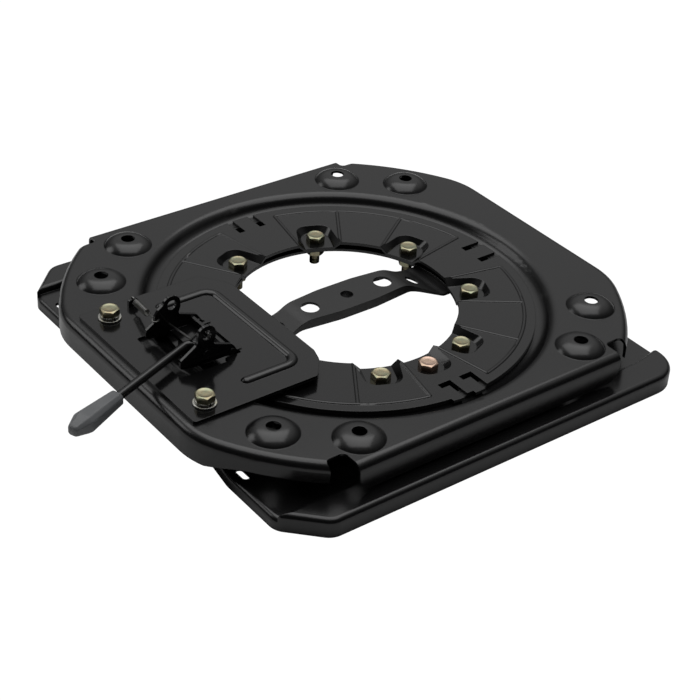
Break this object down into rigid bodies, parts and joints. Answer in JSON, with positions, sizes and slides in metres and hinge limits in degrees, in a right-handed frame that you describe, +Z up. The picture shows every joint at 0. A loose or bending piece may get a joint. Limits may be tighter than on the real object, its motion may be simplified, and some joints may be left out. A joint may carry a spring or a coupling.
{
  "type": "swivel seat base",
  "caption": "Steel swivel base for a vehicle seat: a bolted lower plate, a turning upper plate with raised bolt pads, and a spring latch with a lever and grip.",
  "frame": {"origin": "on the swivel axis, in the plane that the lower plate stands on", "axes": "+Z up along the swivel axis; +X away from the latch lever, parallel to the longer pair of flanges; -Y towards the front edge; -X towards the lever and grip"},
  "size_m": [0.5664, 0.46, 0.088],
  "materials": {
    "frame_black": "satin black powder coat on pressed steel",
    "ring_black": "glossy black coat on pressed steel",
    "latch_black": "semi-gloss black coat on steel",
    "glide_plastic": "black sliding plastic",
    "yellow_zinc": "yellow passivated zinc",
    "copper_zinc": "pink to copper tinted passivated zinc",
    "bright_zinc": "bright zinc",
    "pin_zinc": "dark grey steel pin",
    "spring_steel": "grey spring wire",
    "grip_plastic": "slate grey moulded plastic"
  },
  "bodies": {
    "base": {"lower_plate": "frame_black", "retaining_ring": "ring_black", "lower_glide_ring": "glide_plastic", "upper_glide_ring": "glide_plastic", "cross_strap": "frame_black", "ring_bolts": "yellow_zinc", "stop_bolt": "copper_zinc", "ring_nuts": "yellow_zinc", "stop_nut": "copper_zinc"},
    "swivel": {"upper_plate": "frame_black", "latch_plate": "latch_black", "latch_bolts": "yellow_zinc", "latch_nuts": "yellow_zinc", "plain_washers": "bright_zinc", "spring_washers": "bright_zinc", "hinge_pin": "pin_zinc", "pin_clip": "pin_zinc", "return_spring": "spring_steel"},
    "lever": {"latch_pawl": "latch_black", "lever_rod": "latch_black", "lever_grip": "grip_plastic", "ear_wire": "spring_steel"}
  },
  "joints": [
    {"name": "swivel", "type": "hinge", "parent": "base", "child": "swivel", "pos_m": [0, 0, 0.035], "axis": [0, 0, 1], "range_deg": [-180, 180]},
    {"name": "lever", "type": "hinge", "parent": "swivel", "child": "lever", "pos_m": [-0.1479, 0, 0.0536], "axis": [0, 1, 0], "range_deg": [-5, 16], "stiffness_Nm_per_rad": 4, "springref_deg": 1.03, "deforming": ["return_spring"]}
  ]
}
